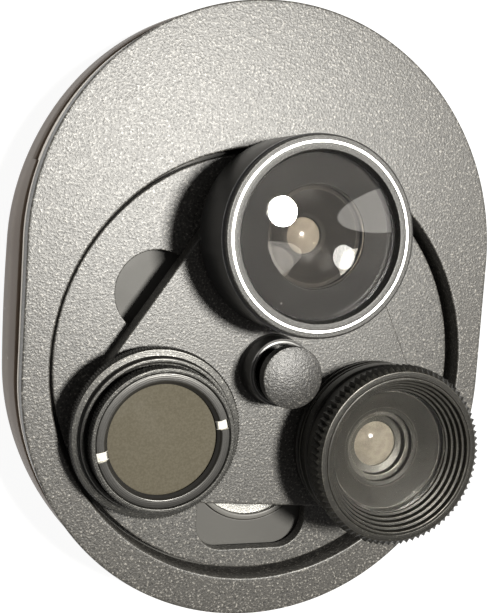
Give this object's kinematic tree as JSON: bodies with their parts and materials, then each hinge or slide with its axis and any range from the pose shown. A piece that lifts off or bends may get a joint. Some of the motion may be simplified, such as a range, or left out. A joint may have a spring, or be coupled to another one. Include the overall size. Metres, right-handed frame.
{
  "type": "rotary lens turret",
  "caption": "Oblong hand-size viewer head with a round recess, turning window disc, three-armed carrier with fisheye, polariser and wide lens, and a central push knob.",
  "frame": {"origin": "on the turret's axis, at the flat rear face of the rear shell", "axes": "+Z out of the front face, towards the lenses; +Y along the long side of the housing, towards its upper end; +X across it, to the right seen from the front"},
  "size_m": [0.07, 0.086, 0.0279],
  "materials": {
    "spark_plastic": "black plastic with a fine spark-eroded grain that reads mid grey in strong light",
    "black_plastic": "satin black plastic",
    "deck": "smooth light grey plastic",
    "rear_shell": "smooth warm grey-brown plastic",
    "rim_strip": "pale cream plastic",
    "black_metal": "black anodised aluminium, fine sparkle on turned faces",
    "silver_line": "bright diamond-cut aluminium line",
    "steel": "plain turned steel",
    "washer": "white low-friction plastic",
    "lens_glass": "clear coated lens glass",
    "viewing_glass": "plain window glass with a bevelled edge",
    "polarising_glass": "olive-grey polarising glass"
  },
  "bodies": {
    "housing": {"rear_shell": "rear_shell", "rim_strip": "rim_strip", "front_cover": "spark_plastic", "inner_deck": "deck", "pivot_post": "steel", "wave_washer": "steel", "viewing_ring": "deck", "viewing_glass": "viewing_glass", "light_baffle_tube": "black_plastic", "rear_window_glass": "viewing_glass", "rear_screw_upper_right": "steel", "rear_screw_upper_left": "steel", "rear_screw_lower_left": "steel", "rear_screw_lower_right": "steel"},
    "disc": {"window_disc": "spark_plastic"},
    "carrier": {"lens_carrier": "spark_plastic", "friction_washer": "washer", "knob_collar": "spark_plastic", "knob_spring": "steel", "fisheye_barrel": "black_plastic", "fisheye_front_ring": "black_metal", "fisheye_front_glass": "lens_glass", "fisheye_second_glass": "lens_glass", "fisheye_inner_cone": "black_plastic", "fisheye_rear_glass": "lens_glass", "polariser_base": "black_metal", "macro_base": "black_metal", "macro_glass": "lens_glass", "wide_barrel": "black_metal", "wide_front_ring": "black_metal", "wide_front_glass": "lens_glass", "wide_inner_cone": "black_plastic"},
    "polariser_ring": {"polariser_turning_ring": "black_metal", "polariser_glass": "polarising_glass", "polariser_retaining_ring": "black_metal"},
    "knob": {"knob_cap": "spark_plastic", "knob_stem": "steel", "stem_clip": "steel"}
  },
  "joints": [
    {"name": "disc_spin", "type": "hinge", "parent": "housing", "child": "disc", "pos_m": [0, 0, 0.0126], "axis": [0, 0, 1], "continuous": true},
    {"name": "carrier_spin", "type": "hinge", "parent": "housing", "child": "carrier", "pos_m": [0, 0, 0.0154], "axis": [0, 0, 1], "continuous": true},
    {"name": "polariser_turn", "type": "hinge", "parent": "carrier", "child": "polariser_ring", "pos_m": [-0.01654, -0.00817, 0.0215], "axis": [0, 0, 1], "continuous": true},
    {"name": "knob_press", "type": "slide", "parent": "carrier", "child": "knob", "axis": [0, 0, -1], "range_m": [0, 0.0015], "stiffness_N_per_m": 600, "springref_m": -0.0008, "deforming": ["knob_spring"]}
  ]
}
